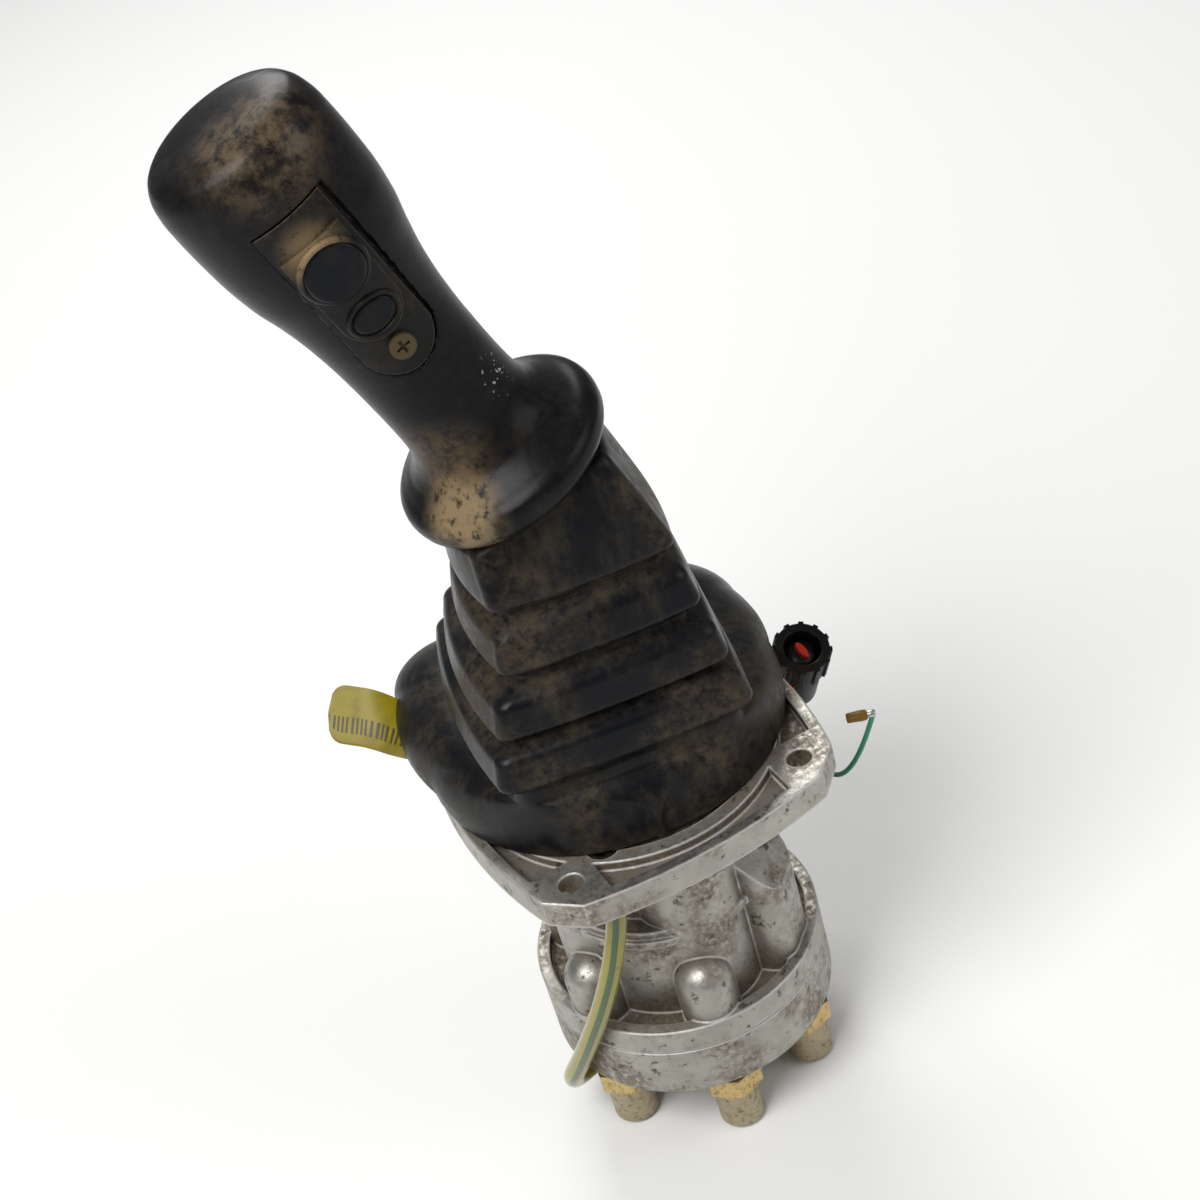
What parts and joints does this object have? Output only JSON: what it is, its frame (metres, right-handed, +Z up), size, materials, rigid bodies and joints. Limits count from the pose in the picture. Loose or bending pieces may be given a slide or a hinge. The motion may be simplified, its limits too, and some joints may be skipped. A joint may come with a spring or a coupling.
{
  "type": "hydraulic pilot joystick valve",
  "caption": "Hydraulic pilot joystick valve: bent grip with thumb buttons over a stepped rubber boot, square mounting flange, cast valve body and hose adapters below.",
  "frame": {"origin": "centre of the mounting flange's top face, on the valve's axis and in the middle of its four bolt holes", "axes": "+Z up the valve's axis towards the grip; -Y is the front, which the grip's buttons face; +X to the right"},
  "size_m": [0.162, 0.146, 0.4044],
  "materials": {
    "cast_body": "sand-textured die casting, dirty",
    "rubber": "matte black rubber",
    "black_steel": "black oxide",
    "steel": "ground steel",
    "zinc_yellow": "yellow zinc plating, worn",
    "bush_metal": "machined bronze",
    "yellow_vinyl": "translucent yellow vinyl tube",
    "black_plastic": "worn matte black",
    "red_plastic": "red lock tab",
    "green_wire": "green wire insulation",
    "terminal": "tinned terminal with brown sleeve",
    "yellow_film": "yellow film",
    "spring_steel": "spring wire"
  },
  "bodies": {
    "valve_body": {"casing": "cast_body", "port_plate": "cast_body", "port_gasket": "rubber", "port_plate_bolts": "black_steel", "locating_pins": "steel", "port_adapters": "zinc_yellow", "adapter_seals": "rubber", "retainer_plate": "steel", "pusher_bushes": "bush_metal", "bush_seals": "rubber", "wiper_seals": "rubber", "lower_yoke": "steel", "boot": "rubber", "harness_grommet": "rubber", "harness_sheath": "yellow_vinyl", "harness_connector": "black_plastic", "connector_lock": "red_plastic", "green_wire": "green_wire", "bullet_terminal": "terminal", "label_tag": "yellow_film", "return_spring_front": "spring_steel", "balance_spring_front": "spring_steel", "return_spring_right": "spring_steel", "balance_spring_right": "spring_steel", "return_spring_rear": "spring_steel", "balance_spring_rear": "spring_steel", "return_spring_left": "spring_steel", "balance_spring_left": "spring_steel"},
    "cross": {"joint_cross": "steel"},
    "lever": {"upper_yoke": "steel", "cam_disc": "steel", "lock_nut": "steel", "lever_rod": "steel", "grip_body": "black_plastic", "grip_back": "black_plastic", "switch_plate": "black_plastic", "button_pad": "black_plastic", "plate_screw": "zinc_yellow", "switches": "black_steel", "grip_screws": "black_steel"},
    "round_button": {"round_button": "black_plastic"},
    "oval_button": {"oval_button": "black_plastic"},
    "pusher_front": {"pusher_front": "steel", "spring_guide_front": "steel"},
    "spool_front": {"spool_front": "steel"},
    "pusher_right": {"pusher_right": "steel", "spring_guide_right": "steel"},
    "spool_right": {"spool_right": "steel"},
    "pusher_rear": {"pusher_rear": "steel", "spring_guide_rear": "steel"},
    "spool_rear": {"spool_rear": "steel"},
    "pusher_left": {"pusher_left": "steel", "spring_guide_left": "steel"},
    "spool_left": {"spool_left": "steel"}
  },
  "joints": [
    {"name": "tilt_x", "type": "hinge", "parent": "valve_body", "child": "cross", "pos_m": [0, 0, 0.016], "axis": [1, 0, 0], "range_deg": [-19, 19], "stiffness_Nm_per_rad": 6, "deforming": ["boot"]},
    {"name": "tilt_y", "type": "hinge", "parent": "cross", "child": "lever", "pos_m": [0, 0, 0.016], "axis": [0, 1, 0], "range_deg": [-19, 19], "stiffness_Nm_per_rad": 6, "deforming": ["boot"]},
    {"name": "round_press", "type": "slide", "parent": "lever", "child": "round_button", "axis": [0.0698, 0.9976, 0], "range_m": [0, 0.0022], "stiffness_N_per_m": 900},
    {"name": "oval_press", "type": "slide", "parent": "lever", "child": "oval_button", "axis": [0.0698, 0.9976, 0], "range_m": [0, 0.0014], "stiffness_N_per_m": 900},
    {"name": "pusher_front_slide", "type": "slide", "parent": "valve_body", "child": "pusher_front", "axis": [0, 0, 1], "range_m": [-0.0078, 0.0078], "deforming": ["return_spring_front", "balance_spring_front"]},
    {"name": "spool_front_slide", "type": "slide", "parent": "valve_body", "child": "spool_front", "axis": [0, 0, 1], "range_m": [-0.0024, 0.0024]},
    {"name": "pusher_right_slide", "type": "slide", "parent": "valve_body", "child": "pusher_right", "axis": [0, 0, 1], "range_m": [-0.0078, 0.0078], "deforming": ["return_spring_right", "balance_spring_right"]},
    {"name": "spool_right_slide", "type": "slide", "parent": "valve_body", "child": "spool_right", "axis": [0, 0, 1], "range_m": [-0.0024, 0.0024]},
    {"name": "pusher_rear_slide", "type": "slide", "parent": "valve_body", "child": "pusher_rear", "axis": [0, 0, 1], "range_m": [-0.0078, 0.0078], "deforming": ["return_spring_rear", "balance_spring_rear"]},
    {"name": "spool_rear_slide", "type": "slide", "parent": "valve_body", "child": "spool_rear", "axis": [0, 0, 1], "range_m": [-0.0024, 0.0024]},
    {"name": "pusher_left_slide", "type": "slide", "parent": "valve_body", "child": "pusher_left", "axis": [0, 0, 1], "range_m": [-0.0078, 0.0078], "deforming": ["return_spring_left", "balance_spring_left"]},
    {"name": "spool_left_slide", "type": "slide", "parent": "valve_body", "child": "spool_left", "axis": [0, 0, 1], "range_m": [-0.0024, 0.0024]}
  ],
  "couplings": [
    {"joint": "pusher_front_slide", "follows": "tilt_x", "m_per_rad": -0.022},
    {"joint": "spool_front_slide", "follows": "tilt_x", "m_per_rad": -0.0066},
    {"joint": "pusher_right_slide", "follows": "tilt_y", "m_per_rad": -0.0232},
    {"joint": "spool_right_slide", "follows": "tilt_y", "m_per_rad": -0.00696},
    {"joint": "pusher_rear_slide", "follows": "tilt_x", "m_per_rad": 0.022},
    {"joint": "spool_rear_slide", "follows": "tilt_x", "m_per_rad": 0.0066},
    {"joint": "pusher_left_slide", "follows": "tilt_y", "m_per_rad": 0.0232},
    {"joint": "spool_left_slide", "follows": "tilt_y", "m_per_rad": 0.00696}
  ]
}
